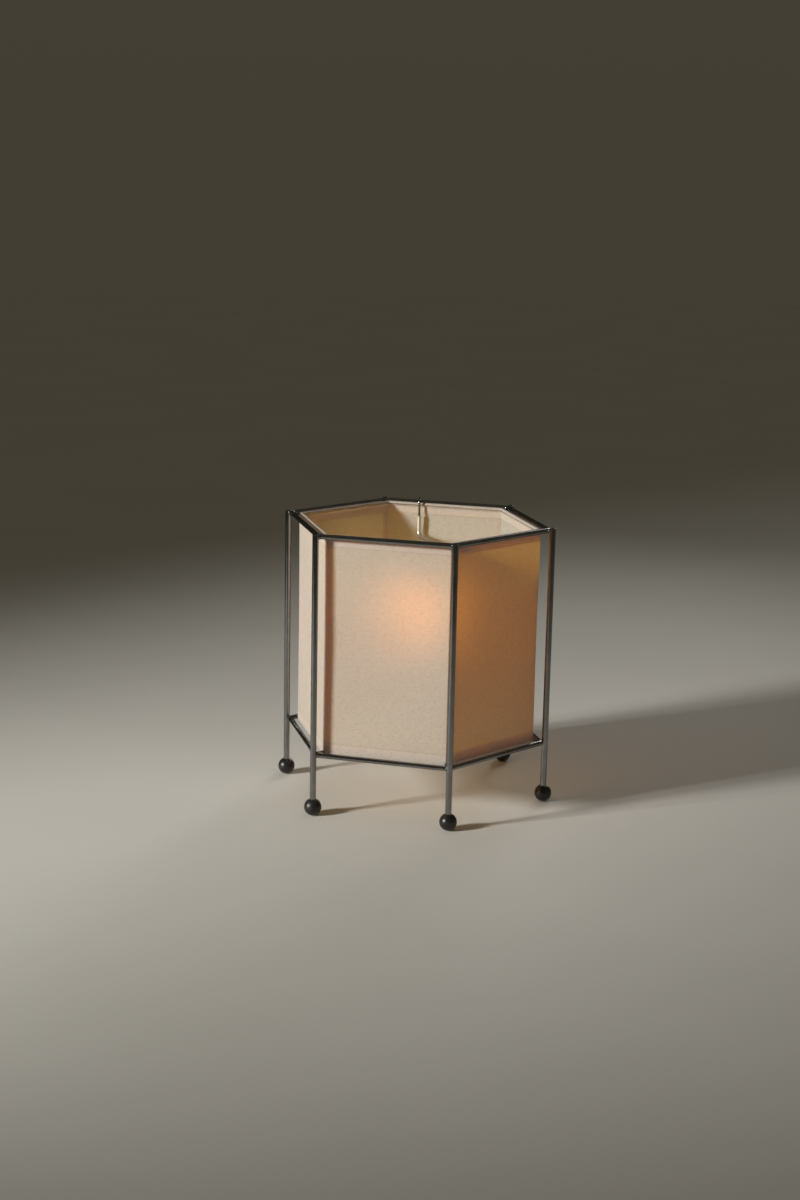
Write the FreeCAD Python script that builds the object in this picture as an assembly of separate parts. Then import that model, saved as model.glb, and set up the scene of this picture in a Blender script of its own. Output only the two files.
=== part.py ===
import FreeCAD, Part
import math
import os
from FreeCAD import Vector

# Table lamp: a hexagonal frame of bright rods on ball feet, with a cloth shade
# inside it and a bulb on an arm that hooks over the rear rail.
# Millimetres. The origin is under the lamp's axis, on the surface it stands on.
# One corner of the hexagon points to the front, along -Y.

# Frame
CORNERS = 6
LEG_CIRCLE_RADIUS = 136.0
LEG_HEIGHT = 277.7
LEG_DIAMETER = 6.0
LEG_END_ROUNDING = 0.8
RAIL_DIAMETER = 5.0
RAIL_BEND_RADIUS = 6.0
RAIL_WELD_DEPTH = 0.8
LOWER_RAIL_HEIGHT = 59.8

# Ball feet
FOOT_DIAMETER = 17.0
FOOT_FLAT_DEPTH = 0.25
FOOT_FLOOR = 5.5

# Shade
SHADE_CORNER_GAP = 11.7
SHADE_TOP_DROP = 1.5
SHADE_BOTTOM_DROP = 0.9
CLOTH_THICKNESS = 0.6
CLOTH_LAP = 6.5
CLOTH_FOLD = 2.0
HEM_WIDTH = 11.5
HEM_CREASE = 5.0
SHADE_WIRE_DIAMETER = 2.5
SHADE_WIRE_INSIDE_BEND = 0.3
SHADE_WIRE_PLAY = 0.1
PEG_DIAMETER = 3.2
PEG_EDGE_MARGIN = 0.4

# Arm
HOOK_OFFSET = 29.5
HOOK_WIRE_DIAMETER = 2.3
HOOK_PLAY = 0.3
HOOK_LIP_DROP = 6.2
HOOK_BEND_RADIUS = 3.0
HOOK_PLUG_DEPTH = 8.0
ARM_INSET = 14.5
ARM_TOP_DROP = 14.7
ARM_RISE = 21.5
ARM_DIAMETER = 4.4
ARM_BEND_RADIUS = 6.0
ARM_CRANK_RADIUS = 20.0
ARM_RUN = 60.0
ARM_HEADING = 8.0
EYE_DIAMETER = 20.0
EYE_THICKNESS = 2.0

# Lampholder, on the bulb's axis
BULB_X = 4.0
BULB_Y = 0.0
NIPPLE_DIAMETER = 10.0
NIPPLE_BORE = 7.0
NIPPLE_LENGTH = 11.3
NIPPLE_END_INSIDE = 1.5
LOCKNUT_ACROSS_FLATS = 14.0
LOCKNUT_THICKNESS = 2.5
GRIP_DIAMETER = 13.0
GRIP_TOP_DIAMETER = 10.5
GRIP_HEIGHT = 8.5
GRIP_BORE = 6.6
HOLDER_DIAMETER = 27.0
HOLDER_CAP_HEIGHT = 15.0
HOLDER_CAP_CROWN = 6.0
HOLDER_CAP_FLAT_DIAMETER = 15.0
HOLDER_WALL = 1.8
HOLDER_SPIGOT = 4.5
HOLDER_SHELL_HEIGHT = 17.5
HOLDER_SHELL_WALL = 3.9
HOLDER_PLAY = 0.05
HOLDER_RIB_DEPTH = 0.5
HOLDER_RIB_WIDTH = 1.6
HOLDER_GROOVES = 4
INSERT_DIAMETER = 22.8
INSERT_THICKNESS = 4.5
TERMINAL_CIRCLE_RADIUS = 8.0
TERMINAL_HEAD_DIAMETER = 3.4
TERMINAL_HEAD_HEIGHT = 1.3
TERMINAL_SHANK_DIAMETER = 2.0
TERMINAL_SHANK_LENGTH = 3.0
TERMINAL_SLOT_WIDTH = 0.6
TERMINAL_SLOT_DEPTH = 0.6
SLEEVE_WALL = 0.45
SLEEVE_LENGTH = 18.5
SLEEVE_FLANGE_DIAMETER = 19.0
CONTACT_LENGTH = 9.0
CONTACT_WIDTH = 4.0
CONTACT_THICKNESS = 0.6

# Bulb with a small screw cap
CAP_THREAD_DIAMETER = 13.9
CAP_THREAD_DEPTH = 0.7
CAP_THREAD_PITCH = 2.82
CAP_THREADS = 5
CAP_LENGTH = 17.0
CAP_PLAY = 0.1
CAP_WALL = 0.3
TIP_DIAMETER = 4.8
TIP_HEIGHT = 1.0
TIP_GAP = 0.2
CAP_INSULATOR_HEIGHT = 2.2
CAP_INSULATOR_TOP_DIAMETER = 8.0
BULB_LENGTH = 60.0
BULB_DIAMETER = 28.0
BULB_NECK_INSIDE_CAP = 3.0
GLASS_THICKNESS = 0.8
STEM_DIAMETER = 4.0
STEM_FLARE = 1.5
STEM_LENGTH = 15.0
FILAMENT_WIRE_DIAMETER = 0.7
FILAMENT_BEND_RADIUS = 1.2
FILAMENT_SPAN = 15.0
FILAMENT_LEAD_GAP = 2.0
FILAMENT_DROP = 9.0

# Cuts run past the faces that they open by this much
OVERRUN = 1.0

PLACES = ["front", "right_front", "right_rear", "rear", "left_rear", "left_front"]
PANEL_PLACES = ["front_right", "right", "rear_right", "rear_left", "left", "front_left"]
HOOK_SIDE = PANEL_PLACES.index("rear_right")

UP = Vector(0, 0, 1)
SIDE_ANGLE = 2 * math.pi / CORNERS
APOTHEM_SHARE = math.cos(SIDE_ANGLE / 2)

# Places and sizes that follow from the values above
rail_radius = RAIL_DIAMETER / 2
leg_radius = LEG_DIAMETER / 2
upper_rail_height = LEG_HEIGHT - rail_radius
rail_bend_reach = LEG_CIRCLE_RADIUS - leg_radius - rail_radius + RAIL_WELD_DEPTH
shade_corner_radius = LEG_CIRCLE_RADIUS - SHADE_CORNER_GAP
shade_top = LEG_HEIGHT - SHADE_TOP_DROP
shade_bottom = LOWER_RAIL_HEIGHT - SHADE_BOTTOM_DROP
cloth_apothem = shade_corner_radius * APOTHEM_SHARE
wire_radius = SHADE_WIRE_DIAMETER / 2
wire_bend_radius = wire_radius + SHADE_WIRE_INSIDE_BEND
wire_apothem = cloth_apothem - 2 * CLOTH_THICKNESS - SHADE_WIRE_PLAY - wire_radius
upper_wire_height = shade_top - CLOTH_THICKNESS - SHADE_WIRE_PLAY - wire_radius
lower_wire_height = shade_bottom + CLOTH_THICKNESS + SHADE_WIRE_PLAY + wire_radius
peg_radius = PEG_DIAMETER / 2
upper_peg_height = shade_top - CLOTH_THICKNESS - PEG_EDGE_MARGIN - peg_radius
lower_peg_height = shade_bottom + CLOTH_THICKNESS + PEG_EDGE_MARGIN + peg_radius

arm_top = LEG_HEIGHT - ARM_TOP_DROP
arm_height = arm_top - ARM_RISE
eye_top = arm_height + EYE_THICKNESS / 2
eye_bottom = arm_height - EYE_THICKNESS / 2
locknut_top = eye_top + LOCKNUT_THICKNESS
holder_cap_rim = eye_bottom - HOLDER_CAP_HEIGHT
spigot_top = holder_cap_rim + HOLDER_SPIGOT
insert_bottom = spigot_top
insert_top = insert_bottom + INSERT_THICKNESS
contact_bottom = insert_bottom - CONTACT_THICKNESS
nipple_bottom = eye_bottom - HOLDER_WALL - NIPPLE_END_INSIDE
nipple_top = nipple_bottom + NIPPLE_LENGTH
holder_radius = HOLDER_DIAMETER / 2
cap_thread_radius = CAP_THREAD_DIAMETER / 2
cap_root_radius = cap_thread_radius - CAP_THREAD_DEPTH
neck_radius = cap_root_radius - CAP_WALL
sleeve_bore_radius = cap_thread_radius + CAP_PLAY
tip_top = contact_bottom - TIP_GAP
cap_insulator_top = tip_top - TIP_HEIGHT
cap_top = cap_insulator_top - CAP_INSULATOR_HEIGHT
cap_bottom = cap_top - CAP_LENGTH
bulb_bottom = tip_top - BULB_LENGTH


def corner_direction(index):
    """Horizontal direction from the lamp's axis to a corner; corner 0 is the front one."""
    angle = index * SIDE_ANGLE
    return Vector(math.sin(angle), -math.cos(angle), 0)


def side_direction(index):
    """Horizontal outward normal of the side between corner index and the next one."""
    return corner_direction(index + 1 / 2)


def along_side(index):
    """Horizontal direction along a side, from corner index to the next one."""
    return UP.cross(side_direction(index))


def rod(start, end, radius):
    """A straight round rod between two points."""
    axis = end - start
    return Part.makeCylinder(radius, axis.Length, start, axis)


def bend_of(before, corner, after, bend_radius):
    """Start, middle and end of the tangent arc that rounds one corner of a route."""
    inward = (before - corner).normalize()
    outward = (after - corner).normalize()
    half_angle = inward.getAngle(outward) / 2
    setback = bend_radius / math.tan(half_angle)
    bisector = (inward + outward).normalize()
    centre = corner + bisector * (bend_radius / math.sin(half_angle))
    return corner + inward * setback, centre - bisector * bend_radius, corner + outward * setback


def bent_rod(points, bend_radii, radius):
    """A round rod along straight runs that tangent arcs join."""
    edges = []
    start = points[0]
    for index, bend_radius in enumerate(bend_radii):
        bend = bend_of(points[index], points[index + 1], points[index + 2], bend_radius)
        edges.append(Part.LineSegment(start, bend[0]).toShape())
        edges.append(Part.Arc(*bend).toShape())
        start = bend[2]
    edges.append(Part.LineSegment(start, points[-1]).toShape())
    section = Part.Wire(Part.makeCircle(radius, points[0], points[1] - points[0]))
    return Part.Wire(edges).makePipeShell([section], True, False)


def hexagon_points(circumradius, height):
    """The six corners of a hexagon about the lamp's axis, with the first one repeated."""
    corners = [corner_direction(index) * circumradius + UP * height for index in range(CORNERS)]
    return corners + corners[:1]


def rounded_ring(corner_radius, bend_radius, height, radius):
    """A closed hexagonal ring of round rod with a bend at each corner."""
    pieces = []
    corners = hexagon_points(corner_radius, height)
    bend_centre_radius = corner_radius - bend_radius / APOTHEM_SHARE
    for index in range(CORNERS):
        before = corners[index - 1 if index else CORNERS - 1]
        bend = bend_of(before, corners[index], corners[index + 1], bend_radius)
        following = bend_of(corners[index], corners[index + 1], corners[(index + 2) % CORNERS], bend_radius)
        section = Part.Face(Part.Wire(Part.makeCircle(radius, bend[0], corners[index] - bend[0])))
        centre = corner_direction(index) * bend_centre_radius + UP * height
        pieces.append(section.revolve(centre, UP, math.degrees(SIDE_ANGLE)))
        pieces.append(rod(bend[2], following[0], radius))
    return pieces[0].fuse(pieces[1:]).removeSplitter()


def turned(points, axis_x=BULB_X, axis_y=BULB_Y):
    """A solid turned about a vertical axis from an outline of (radius, height) points."""
    outline = [Vector(axis_x + radius, axis_y, height) for radius, height in points]
    face = Part.Face(Part.makePolygon(outline + outline[:1]))
    return face.revolve(Vector(axis_x, axis_y, 0), UP, math.degrees(2 * math.pi))


def upright(radius, bottom, top, x=BULB_X, y=BULB_Y):
    """An upright cylinder, on the bulb's axis unless it is placed elsewhere."""
    return Part.makeCylinder(radius, top - bottom, Vector(x, y, bottom))


def tube(outer_radius, inner_radius, bottom, top):
    """An upright tube on the bulb's axis."""
    return upright(outer_radius, bottom, top).cut(upright(inner_radius, bottom - OVERRUN, top + OVERRUN))


def make_rail(height):
    bend_gain = RAIL_BEND_RADIUS / APOTHEM_SHARE - RAIL_BEND_RADIUS
    return rounded_ring(rail_bend_reach + bend_gain, RAIL_BEND_RADIUS, height, rail_radius)


def make_leg(index, rails):
    """A leg rod whose side is notched where each rail is welded to it."""
    place = corner_direction(index) * LEG_CIRCLE_RADIUS
    leg = rod(place + UP * FOOT_FLOOR, place + UP * LEG_HEIGHT, leg_radius)
    top_edges = [edge for edge in leg.Edges if edge.BoundBox.ZMin > LEG_HEIGHT - LEG_END_ROUNDING]
    return leg.makeFillet(LEG_END_ROUNDING, top_edges).cut(rails)


def make_foot(index):
    """A ball with a blind bore for the leg and a small flat to stand on."""
    foot_radius = FOOT_DIAMETER / 2
    place = corner_direction(index) * LEG_CIRCLE_RADIUS
    centre_height = foot_radius - FOOT_FLAT_DEPTH
    ball = Part.makeSphere(foot_radius, place + UP * centre_height)
    above_floor = Part.makeCylinder(FOOT_DIAMETER, FOOT_DIAMETER, place)
    return ball.common(above_floor).cut(rod(place + UP * FOOT_FLOOR, place + UP * LEG_HEIGHT, leg_radius))


def make_shade_wire(height):
    return rounded_ring(wire_apothem / APOTHEM_SHARE, wire_bend_radius, height, wire_radius)


def make_peg(index, height, neighbours):
    """A short rod from a rail's bend inward to a corner of the shade wire."""
    bend_loss = wire_bend_radius / APOTHEM_SHARE - wire_bend_radius
    inner_radius = wire_apothem / APOTHEM_SHARE - bend_loss
    direction = corner_direction(index)
    start = direction * inner_radius + UP * height
    end = direction * rail_bend_reach + UP * height
    return rod(start, end, peg_radius).cut(neighbours)


def make_panel(index, pegs):
    """One cloth side of the shade, lapped behind the next side past the corner they share."""
    def on_side(side, depth, distance):
        return side_direction(side) * (cloth_apothem - depth) + along_side(side) * distance

    def mitre(depth):
        return (cloth_apothem - depth) * math.tan(SIDE_ANGLE / 2)

    single = CLOTH_THICKNESS
    double = 2 * CLOTH_THICKNESS
    outline = [
        on_side(index, 0, -mitre(0)),
        on_side(index, 0, mitre(0)),
        on_side(index, single, mitre(single)),
        on_side(index + 1, single, CLOTH_LAP - mitre(single)),
        on_side(index + 1, double, CLOTH_LAP - mitre(single)),
        on_side(index, double, mitre(double)),
        on_side(index, double, mitre(double) - CLOTH_FOLD),
        on_side(index, single, mitre(double) - CLOTH_FOLD),
        on_side(index, single, -mitre(single)),
    ]
    bottom = UP * (shade_bottom + CLOTH_THICKNESS)
    points = [point + bottom for point in outline]
    height = shade_top - shade_bottom - 2 * CLOTH_THICKNESS
    return Part.Face(Part.makePolygon(points + points[:1])).extrude(UP * height).cut(pegs)


def hexagon_shell(levels):
    """A closed hexagonal wall, one cloth thick, through (outer apothem, height) levels."""
    def loft(inset):
        wires = []
        for apothem, height in levels:
            wires.append(Part.makePolygon(hexagon_points((apothem - inset) / APOTHEM_SHARE, height)))
        return Part.makeLoft(wires, True, True)

    return loft(0).cut(loft(CLOTH_THICKNESS))


def make_hem(edge_height, inward, pegs):
    """Cloth turned over a shade wire; inward is 1 where the hem hangs down and -1 where it stands up."""
    bight = wire_apothem - wire_radius - SHADE_WIRE_PLAY
    cover = edge_height - inward * CLOTH_THICKNESS
    wire_side = cover - inward * SHADE_WIRE_DIAMETER
    lap_apothem = cloth_apothem - 2 * CLOTH_THICKNESS
    crease = edge_height - inward * HEM_CREASE
    hem_end = edge_height - inward * HEM_WIDTH
    levels = [(bight, cover), (bight, wire_side), (lap_apothem, crease), (lap_apothem, hem_end)]
    wall = hexagon_shell(levels)
    base = min(edge_height, cover)
    outer = Part.Face(Part.makePolygon(hexagon_points(shade_corner_radius, base)))
    inner = Part.Face(Part.makePolygon(hexagon_points((bight - CLOTH_THICKNESS) / APOTHEM_SHARE, base)))
    rim = outer.cut(inner).extrude(UP * CLOTH_THICKNESS)
    return wall.fuse(rim).cut(pegs)


def arm_route():
    """Directions and corner points of the arm, from the hook's lip to the eye."""
    apothem = (rail_bend_reach + RAIL_BEND_RADIUS / APOTHEM_SHARE - RAIL_BEND_RADIUS) * APOTHEM_SHARE
    crossing = side_direction(HOOK_SIDE) * apothem + along_side(HOOK_SIDE) * HOOK_OFFSET
    outward = Vector(crossing).normalize()
    drop = crossing - outward * ARM_INSET
    heading = math.radians(ARM_HEADING)
    crank = drop + Vector(math.sin(heading), -math.cos(heading), 0) * ARM_RUN
    return crossing, outward, drop, crank


def make_arm_hook():
    """A thin wire that hooks over the rail and the shade's edge and plugs into the arm rod."""
    crossing, outward, drop, _ = arm_route()
    wire = HOOK_WIRE_DIAMETER / 2
    rail_half_width = rail_radius / outward.dot(side_direction(HOOK_SIDE))
    lip = crossing + outward * (rail_half_width + HOOK_PLAY + wire)
    crown = LEG_HEIGHT + HOOK_PLAY + wire
    points = [
        lip + UP * (LEG_HEIGHT - HOOK_LIP_DROP),
        lip + UP * crown,
        drop + UP * crown,
        drop + UP * (arm_top - HOOK_PLUG_DEPTH),
    ]
    return bent_rod(points, [HOOK_BEND_RADIUS, HOOK_BEND_RADIUS], wire)


def make_arm_rod():
    """The thicker lower rod, cranked so that its end meets the eye under the lampholder's nut."""
    _, _, drop, crank = arm_route()
    level = UP * arm_height
    points = [drop + UP * arm_top, drop + level, crank + level, Vector(BULB_X, BULB_Y, arm_height)]
    arm = bent_rod(points, [ARM_BEND_RADIUS, ARM_CRANK_RADIUS], ARM_DIAMETER / 2)
    bore_floor = drop + UP * (arm_top - HOOK_PLUG_DEPTH)
    bore = rod(bore_floor, drop + UP * (arm_top + OVERRUN), HOOK_WIRE_DIAMETER / 2)
    eye_space = upright(EYE_DIAMETER / 2, arm_height - ARM_DIAMETER, arm_height + ARM_DIAMETER)
    return arm.cut([bore, eye_space])


def make_arm_eye():
    return tube(EYE_DIAMETER / 2, NIPPLE_DIAMETER / 2, eye_bottom, eye_top)


def make_locknut():
    circumradius = LOCKNUT_ACROSS_FLATS / 2 / APOTHEM_SHARE
    centre = Vector(BULB_X, BULB_Y, 0)
    nut = Part.Face(Part.makePolygon([point + centre for point in hexagon_points(circumradius, eye_top)]))
    blank = nut.extrude(UP * LOCKNUT_THICKNESS)
    chamfer = circumradius - LOCKNUT_ACROSS_FLATS / 2
    dome = turned([
        (0, eye_top),
        (circumradius, eye_top),
        (circumradius, locknut_top - chamfer),
        (LOCKNUT_ACROSS_FLATS / 2, locknut_top),
        (0, locknut_top),
    ])
    return blank.common(dome).cut(upright(NIPPLE_DIAMETER / 2, eye_top - OVERRUN, locknut_top + OVERRUN))


def make_nipple():
    return tube(NIPPLE_DIAMETER / 2, NIPPLE_BORE / 2, nipple_bottom, nipple_top)


def make_cord_grip():
    """The cord inlet on top of the lampholder, screwed on the nipple."""
    top = locknut_top + GRIP_HEIGHT
    body = turned([
        (0, locknut_top),
        (GRIP_DIAMETER / 2, locknut_top),
        (GRIP_DIAMETER / 2, nipple_top),
        (GRIP_TOP_DIAMETER / 2, top),
        (0, top),
    ])
    nipple_space = upright(NIPPLE_DIAMETER / 2, locknut_top - OVERRUN, nipple_top)
    return body.cut([nipple_space, upright(GRIP_BORE / 2, locknut_top, top + OVERRUN)])


def make_holder_cap():
    """The domed upper half of the lampholder, with grip ribs round its skirt."""
    shoulder = eye_bottom - HOLDER_CAP_CROWN
    flat = HOLDER_CAP_FLAT_DIAMETER / 2
    outer = turned([(0, holder_cap_rim), (holder_radius, holder_cap_rim), (holder_radius, shoulder),
                    (flat, eye_bottom), (0, eye_bottom)])
    inner = turned([
        (0, holder_cap_rim - OVERRUN),
        (holder_radius - HOLDER_WALL, holder_cap_rim - OVERRUN),
        (holder_radius - HOLDER_WALL, shoulder),
        (flat - HOLDER_WALL, eye_bottom - HOLDER_WALL),
        (0, eye_bottom - HOLDER_WALL),
    ])
    nipple_space = upright(NIPPLE_DIAMETER / 2, nipple_bottom, eye_bottom + OVERRUN)
    groove = tube(holder_radius + OVERRUN, holder_radius - HOLDER_RIB_DEPTH,
                  shoulder - 2 * HOLDER_RIB_WIDTH, shoulder - HOLDER_RIB_WIDTH)
    return outer.cut([inner, nipple_space, groove])


def make_holder_shell():
    """The lower half of the lampholder, whose spigot fits inside the cap and carries the insert."""
    bottom = holder_cap_rim - HOLDER_SHELL_HEIGHT
    body = upright(holder_radius, bottom, holder_cap_rim)
    spigot = upright(holder_radius - HOLDER_WALL - HOLDER_PLAY, bottom, spigot_top)
    bore = upright(holder_radius - HOLDER_SHELL_WALL, bottom - OVERRUN, spigot_top + OVERRUN)
    groove_floor = holder_radius - HOLDER_RIB_DEPTH
    grooves = []
    for step in range(HOLDER_GROOVES):
        low = bottom + (2 * step + 1) * HOLDER_RIB_WIDTH
        grooves.append(tube(holder_radius + OVERRUN, groove_floor, low, low + HOLDER_RIB_WIDTH))
    return body.fuse(spigot).cut([bore] + grooves).removeSplitter()


def terminal_places():
    return [(BULB_X + TERMINAL_CIRCLE_RADIUS * side, BULB_Y) for side in (-1, 1)]


def make_holder_insert():
    """The insulating disc that carries the contacts, with a blind hole for each terminal screw."""
    disc = upright(INSERT_DIAMETER / 2, insert_bottom, insert_top)
    holes = []
    for x, y in terminal_places():
        holes.append(upright(TERMINAL_SHANK_DIAMETER / 2, insert_top - TERMINAL_SHANK_LENGTH,
                             insert_top + OVERRUN, x, y))
    return disc.cut(holes)


def make_terminal_screws():
    screws = []
    head_top = insert_top + TERMINAL_HEAD_HEIGHT
    slot_floor = head_top - TERMINAL_SLOT_DEPTH
    for x, y in terminal_places():
        head = upright(TERMINAL_HEAD_DIAMETER / 2, insert_top, head_top, x, y)
        shank = upright(TERMINAL_SHANK_DIAMETER / 2, insert_top - TERMINAL_SHANK_LENGTH, insert_top, x, y)
        corner = Vector(x - TERMINAL_HEAD_DIAMETER, y - TERMINAL_SLOT_WIDTH / 2, slot_floor)
        slot_height = TERMINAL_SLOT_DEPTH + OVERRUN
        slot = Part.makeBox(2 * TERMINAL_HEAD_DIAMETER, TERMINAL_SLOT_WIDTH, slot_height, corner)
        screws.append(head.fuse(shank).cut(slot))
    return Part.makeCompound(screws)


def make_thread_sleeve():
    """The metal sleeve that takes the bulb's cap, with a flange under the insert."""
    sleeve = upright(sleeve_bore_radius + SLEEVE_WALL, insert_bottom - SLEEVE_LENGTH, insert_bottom)
    flange = upright(SLEEVE_FLANGE_DIAMETER / 2, insert_bottom - SLEEVE_WALL, insert_bottom)
    bore = upright(sleeve_bore_radius, insert_bottom - SLEEVE_LENGTH - OVERRUN, insert_bottom + OVERRUN)
    return sleeve.fuse(flange).cut(bore)


def make_centre_contact():
    corner = Vector(BULB_X - CONTACT_LENGTH / 2, BULB_Y - CONTACT_WIDTH / 2, contact_bottom)
    return Part.makeBox(CONTACT_LENGTH, CONTACT_WIDTH, CONTACT_THICKNESS, corner)


def make_bulb_tip():
    return upright(TIP_DIAMETER / 2, cap_insulator_top, tip_top)


def make_cap_insulator():
    return turned([
        (0, cap_top),
        (cap_root_radius, cap_top),
        (CAP_INSULATOR_TOP_DIAMETER / 2, cap_insulator_top),
        (0, cap_insulator_top),
    ])


def make_bulb_cap():
    """The screw cap as a thin shell whose thread turns are rings of the thread's pitch."""
    root = cap_root_radius
    outline = [(0, cap_top), (root, cap_top)]
    for turn in range(CAP_THREADS):
        start = cap_top - (turn + 1 / 4) * CAP_THREAD_PITCH
        outline.append((root, start))
        outline.append((cap_thread_radius, start - CAP_THREAD_PITCH / 4))
        outline.append((cap_thread_radius, start - CAP_THREAD_PITCH / 2))
        outline.append((root, start - 3 / 4 * CAP_THREAD_PITCH))
    outline += [(root, cap_bottom), (0, cap_bottom)]
    hollow = upright(neck_radius, cap_bottom - OVERRUN, cap_top - CAP_WALL)
    return turned(outline).cut(hollow)


def capsule(inset, neck_top):
    """The bulb's form, a round-ended cylinder with a neck, drawn in all over by the inset."""
    body = BULB_DIAMETER / 2 - inset
    neck = neck_radius - inset
    dome_height = bulb_bottom + BULB_DIAMETER / 2
    shoulder_height = cap_bottom - math.sqrt((BULB_DIAMETER / 2) ** 2 - neck_radius ** 2)
    neck_angle = math.acos(neck / body)

    def point(radius, height):
        return Vector(BULB_X + radius, BULB_Y, height)

    def on_shoulder(angle):
        return point(body * math.cos(angle), shoulder_height + body * math.sin(angle))

    def on_dome(angle):
        return point(body * math.cos(angle), dome_height - body * math.sin(angle))

    edges = [
        Part.Arc(point(0, dome_height - body), on_dome(math.pi / 4), point(body, dome_height)).toShape(),
        Part.LineSegment(point(body, dome_height), on_shoulder(0)).toShape(),
        Part.Arc(on_shoulder(0), on_shoulder(neck_angle / 2), on_shoulder(neck_angle)).toShape(),
        Part.LineSegment(on_shoulder(neck_angle), point(neck, neck_top)).toShape(),
        Part.LineSegment(point(neck, neck_top), point(0, neck_top)).toShape(),
        Part.LineSegment(point(0, neck_top), point(0, dome_height - body)).toShape(),
    ]
    return Part.Face(Part.Wire(edges)).revolve(point(0, 0), UP, math.degrees(2 * math.pi))


def make_bulb_glass():
    neck_top = cap_bottom + BULB_NECK_INSIDE_CAP
    return capsule(0, neck_top).cut(capsule(GLASS_THICKNESS, neck_top + OVERRUN))


def make_bulb_stem():
    """The glass foot inside the bulb that closes the neck and carries the filament."""
    neck_top = cap_bottom + BULB_NECK_INSIDE_CAP
    flare_radius = neck_radius - GLASS_THICKNESS
    return turned([
        (0, neck_top - STEM_LENGTH),
        (STEM_DIAMETER / 2, neck_top - STEM_LENGTH),
        (STEM_DIAMETER / 2, neck_top - 2 * STEM_FLARE),
        (flare_radius, neck_top - STEM_FLARE),
        (flare_radius, neck_top),
        (0, neck_top),
    ])


def make_bulb_filament():
    """A wire that spans between two leads from the end of the stem."""
    stem_end = cap_bottom + BULB_NECK_INSIDE_CAP - STEM_LENGTH
    span = Vector(FILAMENT_SPAN / 2, 0, 0)
    lead = Vector(FILAMENT_LEAD_GAP / 2, 0, 0)
    foot = Vector(BULB_X, BULB_Y, stem_end)
    middle = Vector(BULB_X, BULB_Y, stem_end - FILAMENT_DROP)
    points = [foot - lead, middle - span, middle + span, foot + lead]
    wire = bent_rod(points, [FILAMENT_BEND_RADIUS, FILAMENT_BEND_RADIUS], FILAMENT_WIRE_DIAMETER / 2)
    return wire.cut(make_bulb_stem())


def make_frame():
    rails = {"top_rail": make_rail(upper_rail_height), "bottom_rail": make_rail(LOWER_RAIL_HEIGHT)}
    wires = {
        "shade_top_wire": make_shade_wire(upper_wire_height),
        "shade_bottom_wire": make_shade_wire(lower_wire_height),
    }
    legs = {"leg_" + place: make_leg(index, list(rails.values())) for index, place in enumerate(PLACES)}
    feet = {"foot_" + place: make_foot(index) for index, place in enumerate(PLACES)}
    pegs = {}
    for index, place in enumerate(PLACES):
        upper_neighbours = [rails["top_rail"], wires["shade_top_wire"]]
        lower_neighbours = [rails["bottom_rail"], wires["shade_bottom_wire"]]
        pegs["top_peg_" + place] = make_peg(index, upper_peg_height, upper_neighbours)
        pegs["bottom_peg_" + place] = make_peg(index, lower_peg_height, lower_neighbours)
    panels = {"shade_panel_" + place: make_panel(index, list(pegs.values()))
              for index, place in enumerate(PANEL_PLACES)}
    hems = {
        "shade_top_hem": make_hem(shade_top, 1, list(pegs.values())),
        "shade_bottom_hem": make_hem(shade_bottom, -1, list(pegs.values())),
    }
    return {**rails, **wires, **legs, **feet, **pegs, **panels, **hems}


def make_arm():
    return {
        "arm_hook": make_arm_hook(),
        "arm_rod": make_arm_rod(),
        "arm_eye": make_arm_eye(),
        "holder_locknut": make_locknut(),
        "holder_nipple": make_nipple(),
        "cord_grip": make_cord_grip(),
        "holder_cap": make_holder_cap(),
        "holder_shell": make_holder_shell(),
        "holder_insert": make_holder_insert(),
        "terminal_screws": make_terminal_screws(),
        "thread_sleeve": make_thread_sleeve(),
        "centre_contact": make_centre_contact(),
    }


def make_bulb():
    return {
        "bulb_glass": make_bulb_glass(),
        "bulb_cap": make_bulb_cap(),
        "bulb_cap_insulator": make_cap_insulator(),
        "bulb_tip": make_bulb_tip(),
        "bulb_stem": make_bulb_stem(),
        "bulb_filament": make_bulb_filament(),
    }


os.makedirs("parts", exist_ok=True)
for node, shape in {**make_frame(), **make_arm(), **make_bulb()}.items():
    shape.exportStep("parts/" + node + ".step")
    print(node, "solids", len(shape.Solids), "valid", shape.isValid(), "volume", round(shape.Volume, 2))
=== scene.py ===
import math

import bmesh
import bpy
from mathutils import Matrix, Vector, noise


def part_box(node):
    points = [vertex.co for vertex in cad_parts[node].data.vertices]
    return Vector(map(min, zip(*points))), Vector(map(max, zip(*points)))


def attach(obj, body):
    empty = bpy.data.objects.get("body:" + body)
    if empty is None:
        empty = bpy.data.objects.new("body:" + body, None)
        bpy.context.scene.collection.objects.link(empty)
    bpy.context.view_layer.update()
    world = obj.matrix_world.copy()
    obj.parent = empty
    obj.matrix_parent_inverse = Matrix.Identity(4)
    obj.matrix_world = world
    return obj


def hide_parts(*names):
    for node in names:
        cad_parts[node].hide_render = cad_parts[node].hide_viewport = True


# Table lamp: materials for the rod frame, the cloth shade as bowed sheets with turned hems,
# small weld beads at the joints, a pale floor, soft light and the photograph's camera.
# Metres throughout.

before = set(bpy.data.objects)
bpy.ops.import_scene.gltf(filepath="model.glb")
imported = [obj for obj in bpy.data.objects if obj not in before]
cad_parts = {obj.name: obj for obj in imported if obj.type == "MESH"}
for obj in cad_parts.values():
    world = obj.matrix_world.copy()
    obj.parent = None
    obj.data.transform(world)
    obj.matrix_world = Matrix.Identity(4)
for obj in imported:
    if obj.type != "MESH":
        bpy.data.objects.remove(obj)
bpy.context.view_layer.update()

SIDES = ["front_right", "right", "rear_right", "rear_left", "left", "front_left"]
SIDE_ANGLE = math.pi / 3
HALF_TAN = math.tan(SIDE_ANGLE / 2)
UP = Vector((0, 0, 1))

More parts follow.
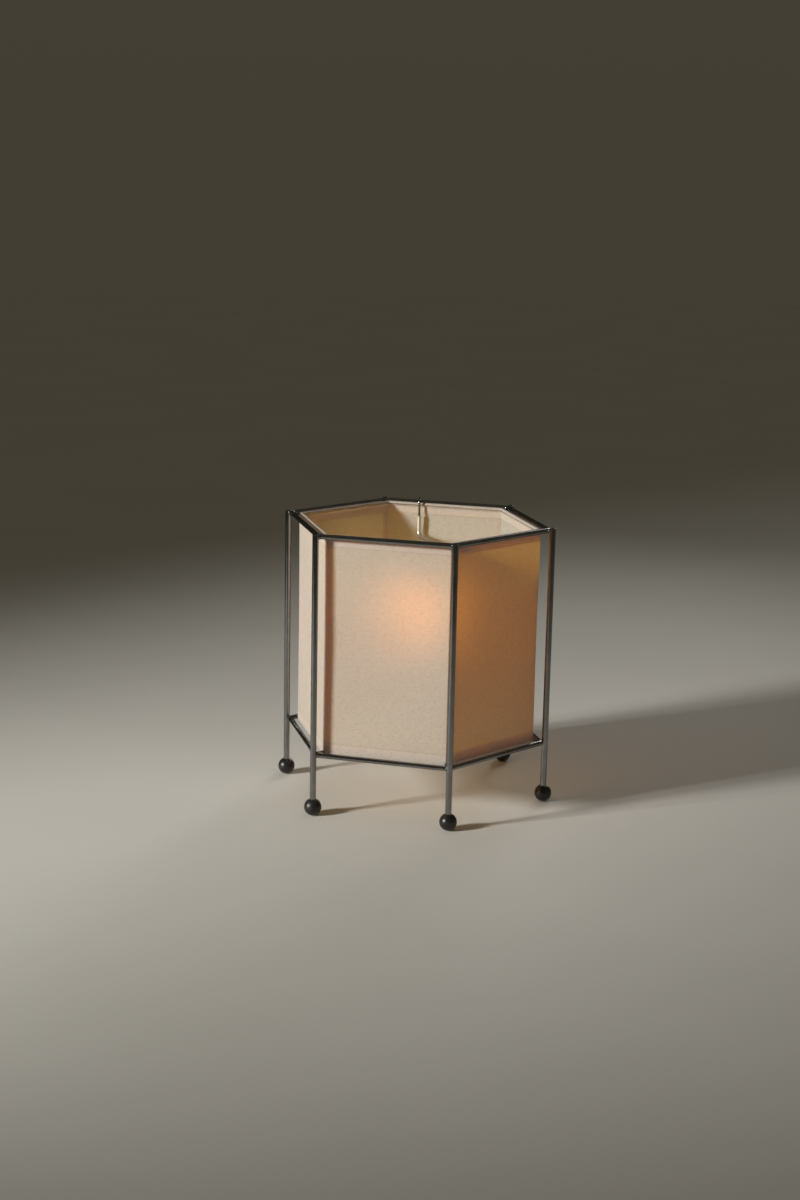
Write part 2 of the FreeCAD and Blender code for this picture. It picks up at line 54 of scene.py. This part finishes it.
# Sizes read from the frame
hem_low, hem_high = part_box("shade_top_hem")
wire_low, wire_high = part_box("shade_top_wire")
CLOTH_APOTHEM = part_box("shade_panel_right")[1].x
HALF_SIDE = CLOTH_APOTHEM * HALF_TAN
SHADE_TOP = hem_high.z
SHADE_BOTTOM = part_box("shade_bottom_hem")[0].z
HEM_WIDTH = hem_high.z - hem_low.z
WIRE_DIAMETER = wire_high.z - wire_low.z

# The cloth's shape
CLOTH_THICKNESS = 0.0005
CLOTH_LAP = 0.0065
LAP_STEPS = [0.4, 0.7, 1.0]
LAP_DEPTH_ON_FACE = 1.3 * CLOTH_THICKNESS
LAP_DEPTH_AT_HEM = 0.1 * CLOTH_THICKNESS
TURNED_DEPTH = 2.4 * CLOTH_THICKNESS
CLOTH_ROLL_GAP = 0.0002
CORNER_ROUNDING = 0.0016
CORNER_STEPS = 3
BOW_AT_CORNER = 0.0004
BOW_AT_MIDDLE = 0.0026
HEM_CREASE = 0.005
SIDE_COLUMNS = 44
SIDE_ROWS = 64
HEM_ROWS = 5
CREASE_ROWS = 5
ROLL_STEPS = 6
RIPPLE_HEIGHT = 0.00022
RIPPLE_SIZE = 0.035
RIPPLE_REACH = 0.06
RIPPLE_FADE = 4
RIPPLE_SIDE_STEP = (3.1, 1.7)

# The cloth's looks; its map counts metres of cloth, and a wave texture of scale 1 has WAVE_PERIOD
CLOTH_MAP = "cloth"
MAP_SIDE_STEP = 0.37
THREAD_PITCH = 0.00055
WAVE_PERIOD = math.pi / 10
CLOTH_LIGHT = (0.875, 0.89, 0.83)
CLOTH_DARK = (0.772, 0.78, 0.70)
CLOTH_GLOW = (0.98, 0.52, 0.08)
CLOTH_GLOW_DARK = (0.83, 0.39, 0.045)
PASSED_SHARE = 0.49
FORWARD_SHARE = 0.48
# The face and hem greys and the line width paint light and shade into the cloth: paler doubled hems as
# painted light, and a painted shadow line at their inner edge
FACE_GREY = 0.88
HEM_PAINTED_SHADOW_GREY = 0.72
HEM_PAINTED_LIGHT_GREY = 1.0
HEM_PAINTED_SHADOW_WIDTH = 0.0007
WARP_STRETCH = (1.0, 0.12, 1.0)
WEFT_STRETCH = (0.16, 1.0, 1.0)
CLOTH_BUMP = (0.35, 0.00012)

# Noise textures: scale, detail and, where it isn't 0.5, roughness
WARP_SLUBS = (1500.0, 2.0)
WEFT_SLUBS = (900.0, 3.0)
CLOTH_MOTTLE = (150.0, 6.0, 0.66)
CLOTH_FLECKS = (1000.0, 5.0, 0.75)
CLOTH_SMUDGES = (380.0, 4.0, 0.7)
METAL_HAZE = (60.0, 4.0, 0.6)
METAL_SPECKS = (700.0, 1.0)
MOULDED_PATCHES = (90.0, 4.0, 0.6)
MOULDED_PORES = (1400.0, 2.0)
GLASS_CLOUD = (120.0, 3.0)
FILAMENT_COIL = (2500.0, 1.0)
FLOOR_PATCHES = (3.0, 3.0)

# Grey ramps: the low and the high grey, and the noise values where the ramp starts and ends
FLECK_GREYS = (0.78, 1.0, 0.34, 0.46)
SMUDGE_GREYS = (0.80, 1.0, 0.34, 0.46)
SPECK_GREYS = (0.35, 1.0, 0.24, 0.30)

# Metal and moulded pieces
METAL_EDGE_TINT = (0.45, 0.45, 0.45)
METAL_BUMP = (0.12, 0.00005)
DRAWN_GRAIN = 900.0
DRAWN_DETAIL = 2.0
DRAWN_STRETCH = (1, 1, 0.05)
EVEN_STRETCH = (1, 1, 1)
MOULDED_BUMP = (0.25, 0.00004)

# The lit bulb; the shares are of its glow, from its lower end up
BULB_COLOUR = (1.0, 0.60, 0.30)
BULB_STRENGTH = 8.8
BULB_GLOW_SHARES = [(0.0, 0.45), (0.3, 0.85), (0.5, 1.0), (0.68, 1.0), (0.86, 0.3), (1.0, 0.06)]
BULB_BUMP = (0.1, 0.0001)
GLASS_DARK = (0.86, 0.80, 0.70)
GLASS_LIGHT = (0.95, 0.90, 0.82)
FILAMENT_DARK = (0.6, 0.3, 0.1)
FILAMENT_LIGHT = (0.95, 0.6, 0.3)
FILAMENT_GLOW = (1.0, 0.55, 0.22)
FILAMENT_STRENGTH = 12.0

# Weld beads; their places are shares of the leg's radius
BEAD_RADIUS = 0.0012
BEAD_LENGTH = 0.0021
BEAD_INWARD = 0.72
BEAD_ASIDE = 0.86
BEAD_TURN = math.pi
BEAD_SUBDIVISIONS = 3
BEAD_RELIEF = 0.0001
BEAD_RELIEF_SCALE = 900

# Floor and room
FLOOR_RADIUS = 9.0
FLOOR_CORNERS = 128
FLOOR_DARK = (0.66, 0.65, 0.62)
FLOOR_LIGHT = (0.69, 0.68, 0.65)
ROOM_LOW = (0.412, 0.364, 0.259)
ROOM_HIGH = (0.68, 0.615, 0.46)
ROOM_STRENGTH = 0.13

# Lamps: name, place, side, watts, colour and spread in degrees
LAMP_TARGET = (0, 0, 0.14)
LAMPS = [
    ("key", (-2.37, -0.59, 0.92), 0.36, 5.1, (1.0, 0.98, 0.92), 46),
    ("fill", (1.3, -1.5, 0.9), 1.0, 0.1, (1.0, 0.95, 0.87), 60),
    ("rear", (1.2, 1.6, 1.1), 0.7, 1.0, (1.0, 0.98, 0.95), 60),
]

# The photograph's camera, for a frame of 800 by 1200
PHOTO_HEIGHT = 1200
FOCAL_PIXELS = 1877.9
SENSOR = 36.0
CAMERA_PLACE = Vector((-0.47390, -1.77499, 0.59795))
CAMERA_PITCH = math.radians(12.37)
CAMERA_HEADING = math.radians(-14.44)
CAMERA_ROLL = math.radians(1.19)


# Directions round the hexagon

def corner_direction(index):
    angle = index * SIDE_ANGLE
    return Vector((math.sin(angle), -math.cos(angle), 0))


def side_direction(index):
    return corner_direction(index + 0.5)


def along_side(index):
    return UP.cross(side_direction(index))


# The cloth's section

def hem_profile():
    """Section of a side from its lower raw edge to its upper one: (depth, height, on_face)."""
    roll = (WIRE_DIAMETER + 2 * CLOTH_ROLL_GAP + 2 * CLOTH_THICKNESS) / 2
    top_centre = SHADE_TOP - roll
    bottom_centre = SHADE_BOTTOM + roll
    hem_section = []
    for row in range(HEM_ROWS):
        share = row / HEM_ROWS
        hem_section.append((TURNED_DEPTH, HEM_WIDTH + (HEM_CREASE - HEM_WIDTH) * share))
    for row in range(CREASE_ROWS):
        share = row / CREASE_ROWS
        depth = TURNED_DEPTH + (2 * roll - TURNED_DEPTH) * share
        hem_section.append((depth, HEM_CREASE + (roll - HEM_CREASE) * share))
    profile = [(depth, SHADE_BOTTOM + rise, False) for depth, rise in hem_section]
    for step in range(ROLL_STEPS + 1):
        angle = math.pi * step / ROLL_STEPS
        profile.append((roll + roll * math.cos(angle), bottom_centre - roll * math.sin(angle), False))
    for row in range(1, SIDE_ROWS):
        profile.append((0.0, bottom_centre + (top_centre - bottom_centre) * row / SIDE_ROWS, True))
    for step in range(ROLL_STEPS + 1):
        angle = math.pi * step / ROLL_STEPS
        profile.append((roll - roll * math.cos(angle), top_centre + roll * math.sin(angle), False))
    profile += [(depth, SHADE_TOP - rise, False) for depth, rise in reversed(hem_section)]
    return profile


def profile_lengths(profile):
    """Length of cloth from the lower raw edge to each point of the section."""
    points = [(depth, height) for depth, height, _ in profile]
    lengths = [0.0]
    for before, after in zip(points, points[1:]):
        lengths.append(lengths[-1] + math.dist(before, after))
    return lengths


def hem_line_share(profile):
    """Place of the hem's inner edge on the face, as a share of the way from the middle to a raw edge."""
    lengths = profile_lengths(profile)
    middle = lengths[-1] / 2
    for (_, height, on_face), length in zip(profile, lengths):
        if on_face and height >= SHADE_BOTTOM + HEM_WIDTH:
            past = height - SHADE_BOTTOM - HEM_WIDTH
            return (middle - length + past) / middle


# Nodes

def new_material(name):
    material = bpy.data.materials.new(name)
    material.use_nodes = True
    nodes = material.node_tree.nodes
    nodes.clear()
    output = nodes.new("ShaderNodeOutputMaterial")
    return material, nodes, material.node_tree.links, output


def new_node(nodes, kind, values):
    """A node with plain values on its sockets."""
    node = nodes.new(kind)
    for socket, value in values.items():
        node.inputs[socket].default_value = value
    return node


def object_coordinates(nodes):
    return nodes.new("ShaderNodeTexCoord").outputs["Object"]


def scaled(nodes, links, vector, scale):
    mapping = new_node(nodes, "ShaderNodeMapping", {"Scale": scale})
    links.new(vector, mapping.inputs["Vector"])
    return mapping.outputs["Vector"]


def vector_part(nodes, links, vector, axis):
    parts = nodes.new("ShaderNodeSeparateXYZ")
    links.new(vector, parts.inputs["Vector"])
    return parts.outputs[axis]


def noise_texture(nodes, links, vector, scale, detail, roughness=0.5):
    texture = new_node(nodes, "ShaderNodeTexNoise",
                       {"Scale": scale, "Detail": detail, "Roughness": roughness})
    links.new(vector, texture.inputs["Vector"])
    return texture.outputs["Fac"]


def thread_wave(nodes, links, vector, direction):
    """One set of the cloth's threads, as a wave across them with a slightly wandering line."""
    wave = new_node(nodes, "ShaderNodeTexWave", {
        "Scale": WAVE_PERIOD / THREAD_PITCH, "Distortion": 1.4, "Detail": 2.0, "Detail Scale": 1.5})
    wave.wave_type = "BANDS"
    wave.bands_direction = direction
    links.new(vector, wave.inputs["Vector"])
    return wave.outputs["Fac"]


def ramp(nodes, links, factor, stops):
    node = nodes.new("ShaderNodeValToRGB")
    links.new(factor, node.inputs["Fac"])
    elements = node.color_ramp.elements
    for _ in range(len(stops) - 2):
        elements.new(0.5)
    for element, (position, colour) in zip(elements, stops):
        element.position = position
        element.color = (*colour, 1.0)
    return node.outputs["Color"]


def grey_ramp(nodes, links, factor, low, high, start=0.3, end=0.7):
    return ramp(nodes, links, factor, [(start, (low,) * 3), (end, (high,) * 3)])


def math_node(nodes, links, operation, first, second=0.0):
    node = nodes.new("ShaderNodeMath")
    node.operation = operation
    for socket, value in zip(node.inputs, (first, second)):
        if isinstance(value, (int, float)):
            socket.default_value = value
        else:
            links.new(value, socket)
    return node.outputs["Value"]


def weighted_sum(nodes, links, parts):
    """The sum of pairs of an output and its weight."""
    total = None
    for part, weight in parts:
        term = math_node(nodes, links, "MULTIPLY", part, weight)
        total = term if total is None else math_node(nodes, links, "ADD", total, term)
    return total


def multiplied(nodes, links, first, second):
    mix = nodes.new("ShaderNodeMix")
    mix.data_type = "RGBA"
    mix.blend_type = "MULTIPLY"
    mix.inputs["Factor"].default_value = 1.0
    links.new(first, mix.inputs["A"])
    links.new(second, mix.inputs["B"])
    return mix.outputs["Result"]


def bump(nodes, links, height, strength, distance):
    node = new_node(nodes, "ShaderNodeBump", {"Strength": strength, "Distance": distance})
    links.new(height, node.inputs["Height"])
    return node.outputs["Normal"]


def mixed_shaders(nodes, links, share, first, second):
    mix = new_node(nodes, "ShaderNodeMixShader", {"Fac": share})
    links.new(first.outputs[0], mix.inputs[1])
    links.new(second.outputs[0], mix.inputs[2])
    return mix


# Materials

def metal(name, colour, shade, roughness_low, roughness_high, grain=DRAWN_GRAIN, stretch=DRAWN_STRETCH):
    """Bright metal with fine drawn lines, faint haze and small dark specks."""
    material, nodes, links, output = new_material(name)
    shader = new_node(nodes, "ShaderNodeBsdfPrincipled", {
        "Metallic": 1.0, "Specular Tint": (*METAL_EDGE_TINT, 1.0)})
    place = object_coordinates(nodes)
    lines = noise_texture(nodes, links, scaled(nodes, links, place, stretch), grain, DRAWN_DETAIL)
    haze = noise_texture(nodes, links, place, *METAL_HAZE)
    specks = noise_texture(nodes, links, place, *METAL_SPECKS)
    tint = ramp(nodes, links, haze, [(0.35, shade), (0.62, colour)])
    dark = grey_ramp(nodes, links, specks, *SPECK_GREYS)
    links.new(multiplied(nodes, links, tint, dark), shader.inputs["Base Color"])
    links.new(grey_ramp(nodes, links, haze, roughness_low, roughness_high), shader.inputs["Roughness"])
    links.new(bump(nodes, links, lines, *METAL_BUMP), shader.inputs["Normal"])
    links.new(shader.outputs["BSDF"], output.inputs["Surface"])
    return material


def moulded(name, colour, worn, roughness_low, roughness_high):
    """Solid coloured plastic, lacquer, ceramic or glass with a fine pored surface."""
    material, nodes, links, output = new_material(name)
    shader = nodes.new("ShaderNodeBsdfPrincipled")
    place = object_coordinates(nodes)
    patches = noise_texture(nodes, links, place, *MOULDED_PATCHES)
    pores = noise_texture(nodes, links, place, *MOULDED_PORES)
    links.new(ramp(nodes, links, patches, [(0.38, colour), (0.72, worn)]), shader.inputs["Base Color"])
    links.new(grey_ramp(nodes, links, patches, roughness_low, roughness_high), shader.inputs["Roughness"])
    links.new(bump(nodes, links, pores, *MOULDED_BUMP), shader.inputs["Normal"])
    links.new(shader.outputs["BSDF"], output.inputs["Surface"])
    return material


def painted_hem_light_and_shadow(nodes, links, place):
    """Grey painted on the cloth as light and shade: full over the doubled hems as painted light, less on
    the open face, least in a thin painted shadow line between them.
    """
    profile = hem_profile()
    middle = profile_lengths(profile)[-1] / 2
    line = hem_line_share(profile)
    width = HEM_PAINTED_SHADOW_WIDTH / middle
    offset = math_node(nodes, links, "SUBTRACT", vector_part(nodes, links, place, "Y"), middle)
    share = math_node(nodes, links, "DIVIDE", math_node(nodes, links, "ABSOLUTE", offset), middle)
    stops = [(line - width, FACE_GREY), (line, HEM_PAINTED_SHADOW_GREY), (line + width, HEM_PAINTED_LIGHT_GREY)]
    return ramp(nodes, links, share, [(position, (grey,) * 3) for position, grey in stops])


def cloth_material():
    """Fine plain-weave cloth: off-white where lit from outside, amber where light comes through."""
    material, nodes, links, output = new_material("shade_cloth")
    coordinates = nodes.new("ShaderNodeUVMap")
    coordinates.uv_map = CLOTH_MAP
    place = coordinates.outputs["UV"]
    warp_place = scaled(nodes, links, place, WARP_STRETCH)
    weft_place = scaled(nodes, links, place, WEFT_STRETCH)

    warp = thread_wave(nodes, links, place, "X")
    weft = thread_wave(nodes, links, place, "Y")
    weave = math_node(nodes, links, "MULTIPLY", warp, weft)
    warp_slubs = noise_texture(nodes, links, warp_place, *WARP_SLUBS)
    weft_slubs = noise_texture(nodes, links, weft_place, *WEFT_SLUBS)
    mottle = noise_texture(nodes, links, place, *CLOTH_MOTTLE)
    uneven = weighted_sum(nodes, links, [(warp_slubs, 0.2), (weft_slubs, 0.3), (mottle, 0.5)])
    threads = weighted_sum(nodes, links, [(uneven, 0.72), (weave, 0.28)])

    flecks = noise_texture(nodes, links, weft_place, *CLOTH_FLECKS)
    smudges = noise_texture(nodes, links, place, *CLOTH_SMUDGES)
    specked = multiplied(nodes, links, grey_ramp(nodes, links, flecks, *FLECK_GREYS),
                         grey_ramp(nodes, links, smudges, *SMUDGE_GREYS))
    plain = ramp(nodes, links, threads, [(0.25, CLOTH_DARK), (0.60, CLOTH_LIGHT)])
    # The base colour carries painted light on the doubled hems and a painted shadow line at their edge
    reflected = multiplied(nodes, links, multiplied(nodes, links, plain, specked),
                           painted_hem_light_and_shadow(nodes, links, place))
    passed = ramp(nodes, links, threads, [(0.25, CLOTH_GLOW_DARK), (0.62, CLOTH_GLOW)])

    surface = new_node(nodes, "ShaderNodeBsdfPrincipled", {
        "Roughness": 0.88, "Sheen Weight": 0.1, "Sheen Roughness": 0.5, "Specular IOR Level": 0.25})
    through = nodes.new("ShaderNodeBsdfTranslucent")
    forward = new_node(nodes, "ShaderNodeBsdfRefraction", {"Roughness": 0.95, "IOR": 1.62})
    relief = bump(nodes, links, threads, *CLOTH_BUMP)
    links.new(relief, surface.inputs["Normal"])
    links.new(relief, through.inputs["Normal"])
    links.new(reflected, surface.inputs["Base Color"])
    links.new(passed, through.inputs["Color"])
    links.new(passed, forward.inputs["Color"])
    passing = mixed_shaders(nodes, links, FORWARD_SHARE, through, forward)
    whole = mixed_shaders(nodes, links, PASSED_SHARE, surface, passing)
    links.new(whole.outputs["Shader"], output.inputs["Surface"])
    return material


def lit_glass():
    """Frosted glass of a lit bulb: it glows most round the filament and fades up its neck."""
    material, nodes, links, output = new_material("bulb_glass")
    shader = new_node(nodes, "ShaderNodeBsdfPrincipled", {
        "Roughness": 0.35, "Coat Weight": 0.3, "Emission Strength": BULB_STRENGTH})
    place = object_coordinates(nodes)
    low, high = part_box("bulb_glass")
    rise = math_node(nodes, links, "SUBTRACT", vector_part(nodes, links, place, "Z"), low.z)
    share = math_node(nodes, links, "DIVIDE", rise, high.z - low.z)
    stops = [(position, [level * part for part in BULB_COLOUR]) for position, level in BULB_GLOW_SHARES]
    links.new(ramp(nodes, links, share, stops), shader.inputs["Emission Color"])
    cloud = noise_texture(nodes, links, place, *GLASS_CLOUD)
    links.new(ramp(nodes, links, cloud, [(0.35, GLASS_DARK), (0.65, GLASS_LIGHT)]),
              shader.inputs["Base Color"])
    links.new(bump(nodes, links, cloud, *BULB_BUMP), shader.inputs["Normal"])
    links.new(shader.outputs["BSDF"], output.inputs["Surface"])
    return material


def glowing_wire():
    """Glowing coiled filament."""
    material, nodes, links, output = new_material("filament")
    shader = new_node(nodes, "ShaderNodeBsdfPrincipled", {
        "Emission Color": (*FILAMENT_GLOW, 1.0), "Emission Strength": FILAMENT_STRENGTH})
    coil = noise_texture(nodes, links, object_coordinates(nodes), *FILAMENT_COIL)
    links.new(ramp(nodes, links, coil, [(0.3, FILAMENT_DARK), (0.7, FILAMENT_LIGHT)]),
              shader.inputs["Base Color"])
    links.new(shader.outputs["BSDF"], output.inputs["Surface"])
    return material


chrome = metal("chrome", (0.30, 0.30, 0.30), (0.245, 0.245, 0.245), 0.05, 0.12)
arm_satin = metal("arm_satin", (0.76, 0.72, 0.64), (0.66, 0.62, 0.54), 0.36, 0.48)
wire_metal = metal("wire_metal", (0.48, 0.47, 0.46), (0.38, 0.37, 0.36), 0.3, 0.45)
zinc = metal("zinc", (0.56, 0.56, 0.54), (0.44, 0.44, 0.43), 0.25, 0.42, 500.0, EVEN_STRETCH)
brass = metal("brass", (0.74, 0.54, 0.25), (0.60, 0.41, 0.18), 0.2, 0.36, 500.0, EVEN_STRETCH)
aluminium = metal("aluminium", (0.70, 0.70, 0.70), (0.60, 0.60, 0.61), 0.22, 0.36, 600.0, EVEN_STRETCH)
black_lacquer = moulded("black_lacquer", (0.010, 0.0095, 0.009), (0.022, 0.020, 0.019), 0.28, 0.42)
holder_black = moulded("holder_black", (0.014, 0.013, 0.012), (0.026, 0.024, 0.022), 0.22, 0.34)
ceramic = moulded("ceramic", (0.80, 0.78, 0.72), (0.70, 0.67, 0.60), 0.4, 0.55)
dark_glass = moulded("dark_glass", (0.02, 0.02, 0.025), (0.03, 0.03, 0.035), 0.1, 0.18)
stem_glass = moulded("stem_glass", (0.82, 0.86, 0.84), (0.72, 0.77, 0.75), 0.08, 0.16)
bulb_glass = lit_glass()
filament = glowing_wire()
cloth = cloth_material()

# Each node takes the material of the longest start of its name
NODE_MATERIALS = {
    "top_rail": chrome, "bottom_rail": chrome, "leg_": chrome, "top_peg_": chrome, "bottom_peg_": chrome,
    "shade_top_wire": wire_metal, "shade_bottom_wire": wire_metal,
    "foot_": black_lacquer,
    "shade_panel_": cloth, "shade_top_hem": cloth, "shade_bottom_hem": cloth,
    "arm_": arm_satin, "arm_hook": chrome,
    "holder_locknut": zinc, "holder_nipple": zinc, "bulb_tip": zinc,
    "holder_cap": holder_black, "holder_shell": holder_black, "cord_grip": holder_black,
    "holder_insert": ceramic,
    "terminal_screws": brass, "thread_sleeve": brass, "centre_contact": brass,
    "bulb_cap": aluminium, "bulb_cap_insulator": dark_glass,
    "bulb_glass": bulb_glass, "bulb_stem": stem_glass, "bulb_filament": filament,
}


def dress_nodes():
    for node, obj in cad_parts.items():
        keys = [key for key in NODE_MATERIALS if node.startswith(key)]
        material = NODE_MATERIALS[max(keys, key=len)]
        if not obj.material_slots:
            obj.data.materials.append(material)
        for slot in obj.material_slots:
            slot.material = material


# Cloth

def side_outline():
    """Plan of one side about its middle, from corner to rounded corner: (distance along, depth)."""
    flat_half = HALF_SIDE - CORNER_ROUNDING * HALF_TAN
    rounded = []
    for step in range(1, CORNER_STEPS + 1):
        angle = SIDE_ANGLE / 2 * step / CORNER_STEPS
        along = flat_half + CORNER_ROUNDING * math.sin(angle)
        rounded.append((along, CORNER_ROUNDING * (1 - math.cos(angle))))
    left = [(-distance, depth) for distance, depth in reversed(rounded)]
    flat = []
    for column in range(SIDE_COLUMNS + 1):
        flat.append((flat_half * (2 * column / SIDE_COLUMNS - 1), 0.0))
    return left + flat + rounded


def bow_depth(side, share, height):
    """How far the stretched cloth draws in at a place: most at mid-height and in the side's middle."""
    rise = min(max((height - SHADE_BOTTOM) / (SHADE_TOP - SHADE_BOTTOM), 0.0), 1.0)
    drawn = math.sin(math.pi * rise)
    across = BOW_AT_CORNER + (BOW_AT_MIDDLE - BOW_AT_CORNER) * (1 - share * share)
    step_along, step_out = RIPPLE_SIDE_STEP
    seed = Vector((side * step_along + share * RIPPLE_REACH / RIPPLE_SIZE, height / RIPPLE_SIZE,
                   side * step_out))
    ripple = RIPPLE_HEIGHT * noise.noise(seed) * (1 - share ** 4)
    return drawn * (across + 2 * ripple) + ripple * min(1.0, RIPPLE_FADE * rise, RIPPLE_FADE * (1 - rise))


def place_on_side(side, along, depth, height):
    """A point of a side's cloth; along runs from corner to corner and shrinks with depth, as at a mitre."""
    total = depth + bow_depth(side, along / HALF_SIDE, height)
    scale = (CLOTH_APOTHEM - total) / CLOTH_APOTHEM
    point = side_direction(side) * (CLOTH_APOTHEM - total) + along_side(side) * (along * scale)
    return point + Vector((0, 0, height))


def new_piece(name, built):
    """An object in the scene from a finished bmesh."""
    mesh = bpy.data.meshes.new(name)
    built.to_mesh(mesh)
    built.free()
    piece = bpy.data.objects.new(name, mesh)
    bpy.context.scene.collection.objects.link(piece)
    return piece


def sheet_piece(name, rows, widths, heights):
    """A grid from rows of points, with a map in metres of cloth."""
    built = bmesh.new()
    map_layer = built.loops.layers.uv.new(CLOTH_MAP)
    grid = [[built.verts.new(point) for point in row] for row in rows]
    for r in range(len(grid) - 1):
        for c in range(len(grid[0]) - 1):
            corners = ((r, c), (r, c + 1), (r + 1, c + 1), (r + 1, c))
            face = built.faces.new([grid[row][column] for row, column in corners])
            face.smooth = True
            for loop, (row, column) in zip(face.loops, corners):
                loop[map_layer].uv = (widths[column], heights[row])
    built.normal_update()
    return new_piece(name, built)


def make_cloth_side(side):
    """One side of the shade: a sheet turned over both wires, lapped behind the next side."""
    outline = side_outline()
    profile = hem_profile()
    rows = []
    for depth, height, on_face in profile:
        row = [place_on_side(side, along, depth + inset, height) for along, inset in outline]
        behind = depth + (LAP_DEPTH_ON_FACE if on_face else LAP_DEPTH_AT_HEM)
        for share in LAP_STEPS:
            row.append(place_on_side(side + 1, -HALF_SIDE + CLOTH_LAP * share, behind, height))
        rows.append(row)
    widths = [HALF_SIDE + along for along, _ in outline]
    widths += [2 * HALF_SIDE + CLOTH_LAP * share for share in LAP_STEPS]
    heights = profile_lengths(profile)
    piece = sheet_piece("cloth_side_" + SIDES[side], rows,
                        [side * MAP_SIDE_STEP + width for width in widths], heights)
    piece.data.materials.append(cloth)
    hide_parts("shade_panel_" + SIDES[side], "shade_top_hem", "shade_bottom_hem")
    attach(piece, "frame")


# Weld beads

def make_weld_beads(rail, name):
    """Rounded drops on both sides of each leg, stretched along the seam where the rail is welded to it."""
    rail_low, rail_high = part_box(rail)
    height = (rail_low.z + rail_high.z) / 2
    leg_low, leg_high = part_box("leg_front")
    leg_radius = (leg_high.x - leg_low.x) / 2
    leg_distance = -(leg_low.y + leg_high.y) / 2
    bead_distance = leg_distance - leg_radius * BEAD_INWARD
    shape = Matrix.Rotation(BEAD_TURN, 4, "Z") @ Matrix.Diagonal((BEAD_RADIUS, BEAD_RADIUS, BEAD_LENGTH, 1))
    built = bmesh.new()
    for index in range(len(SIDES)):
        outward = corner_direction(index)
        across = UP.cross(outward)
        for hand in (-1, 1):
            seam = outward * bead_distance + across * (hand * leg_radius * BEAD_ASIDE)
            centre = seam + Vector((0, 0, height))
            bmesh.ops.create_icosphere(built, subdivisions=BEAD_SUBDIVISIONS, radius=1.0,
                                       matrix=Matrix.Translation(centre) @ shape)
    for face in built.faces:
        face.smooth = True
    for vertex in built.verts:
        relief = BEAD_RELIEF * noise.noise(vertex.co * BEAD_RELIEF_SCALE)
        vertex.co += vertex.co.normalized() * relief
    piece = new_piece(name, built)
    piece.data.materials.append(chrome)
    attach(piece, "frame")


# Stage, light and camera

def make_floor():
    material, nodes, links, output = new_material("floor_paint")
    shader = new_node(nodes, "ShaderNodeBsdfPrincipled", {"Roughness": 0.75, "Specular IOR Level": 0.2})
    patches = noise_texture(nodes, links, object_coordinates(nodes), *FLOOR_PATCHES)
    links.new(ramp(nodes, links, patches, [(0.3, FLOOR_DARK), (0.7, FLOOR_LIGHT)]),
              shader.inputs["Base Color"])
    links.new(shader.outputs["BSDF"], output.inputs["Surface"])
    bpy.ops.mesh.primitive_circle_add(vertices=FLOOR_CORNERS, radius=FLOOR_RADIUS, fill_type="NGON")
    floor = bpy.context.object
    floor.name = "floor"
    floor.data.materials.append(material)


def make_lamps():
    for name, place, side, power, colour, spread in LAMPS:
        data = bpy.data.lights.new(name, "AREA")
        data.shape = "RECTANGLE"
        data.size = data.size_y = side
        data.energy = power
        data.color = colour
        data.spread = math.radians(spread)
        lamp = bpy.data.objects.new(name, data)
        lamp.location = place
        lamp.rotation_euler = (Vector(LAMP_TARGET) - Vector(place)).to_track_quat("-Z", "Y").to_euler()
        bpy.context.scene.collection.objects.link(lamp)


def make_world():
    """Dim, even room light, a little brighter overhead than at the horizon."""
    world = bpy.data.worlds.new("studio")
    world.use_nodes = True
    nodes, links = world.node_tree.nodes, world.node_tree.links
    height = vector_part(nodes, links, nodes.new("ShaderNodeTexCoord").outputs["Generated"], "Z")
    background = nodes["Background"]
    links.new(ramp(nodes, links, height, [(0.0, ROOM_LOW), (1.0, ROOM_HIGH)]), background.inputs["Color"])
    background.inputs["Strength"].default_value = ROOM_STRENGTH
    bpy.context.scene.world = world


def make_camera():
    data = bpy.data.cameras.new("camera")
    data.sensor_fit = "AUTO"
    data.sensor_width = SENSOR
    data.lens = FOCAL_PIXELS / PHOTO_HEIGHT * SENSOR
    camera = bpy.data.objects.new("camera", data)
    turn = (Matrix.Rotation(CAMERA_HEADING, 4, "Z") @ Matrix.Rotation(math.pi / 2 - CAMERA_PITCH, 4, "X")
            @ Matrix.Rotation(CAMERA_ROLL, 4, "Z"))
    camera.matrix_world = Matrix.Translation(CAMERA_PLACE) @ turn
    bpy.context.scene.collection.objects.link(camera)
    bpy.context.scene.camera = camera


make_camera()
dress_nodes()
for side_index in range(len(SIDES)):
    make_cloth_side(side_index)
make_weld_beads("top_rail", "top_weld_beads")
make_weld_beads("bottom_rail", "bottom_weld_beads")
make_floor()
make_lamps()
make_world()
bpy.context.scene.view_settings.view_transform = "Standard"
